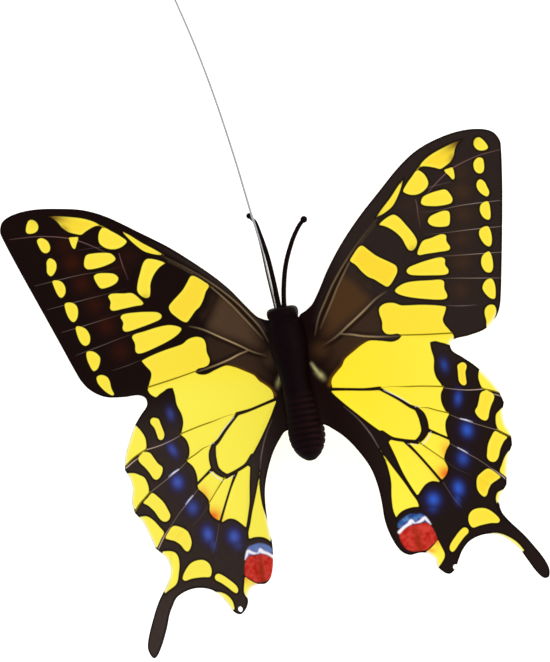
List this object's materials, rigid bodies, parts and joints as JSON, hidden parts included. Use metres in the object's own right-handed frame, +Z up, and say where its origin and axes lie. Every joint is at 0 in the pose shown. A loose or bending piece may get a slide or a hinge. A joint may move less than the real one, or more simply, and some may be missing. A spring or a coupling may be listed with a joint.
{
  "type": "toy swallowtail butterfly",
  "caption": "Toy swallowtail butterfly: die-cut printed film wings, black moulded body, ball-tipped antennae and a spring wire, held level over a round stand by a rod.",
  "frame": {"origin": "centre of the underside of the stand's round base, on the surface it stands on", "axes": "+Y forward, from the abdomen to the head; +X to the butterfly's right; +Z up"},
  "size_m": [0.1204, 0.1463, 0.0616],
  "materials": {
    "black_plastic": "moulded black plastic, semi-gloss, with fine mould lines",
    "eye_plastic": "polished black lobes of the same moulding",
    "printed_film": "thin plastic film, glossy, printed with a yellow and black swallowtail pattern on both sides",
    "spring_steel": "bright drawn wire",
    "stand_plastic": "plain white satin plastic"
  },
  "bodies": {
    "root": {"head": "black_plastic", "thorax": "black_plastic", "abdomen": "black_plastic", "eye_left": "eye_plastic", "eye_right": "eye_plastic", "antenna_left": "black_plastic", "antenna_right": "black_plastic", "spring_wire": "spring_steel", "wing_left": "printed_film", "wing_right": "printed_film", "stand_base": "stand_plastic", "stand_rod": "stand_plastic"}
  },
  "joints": []
}
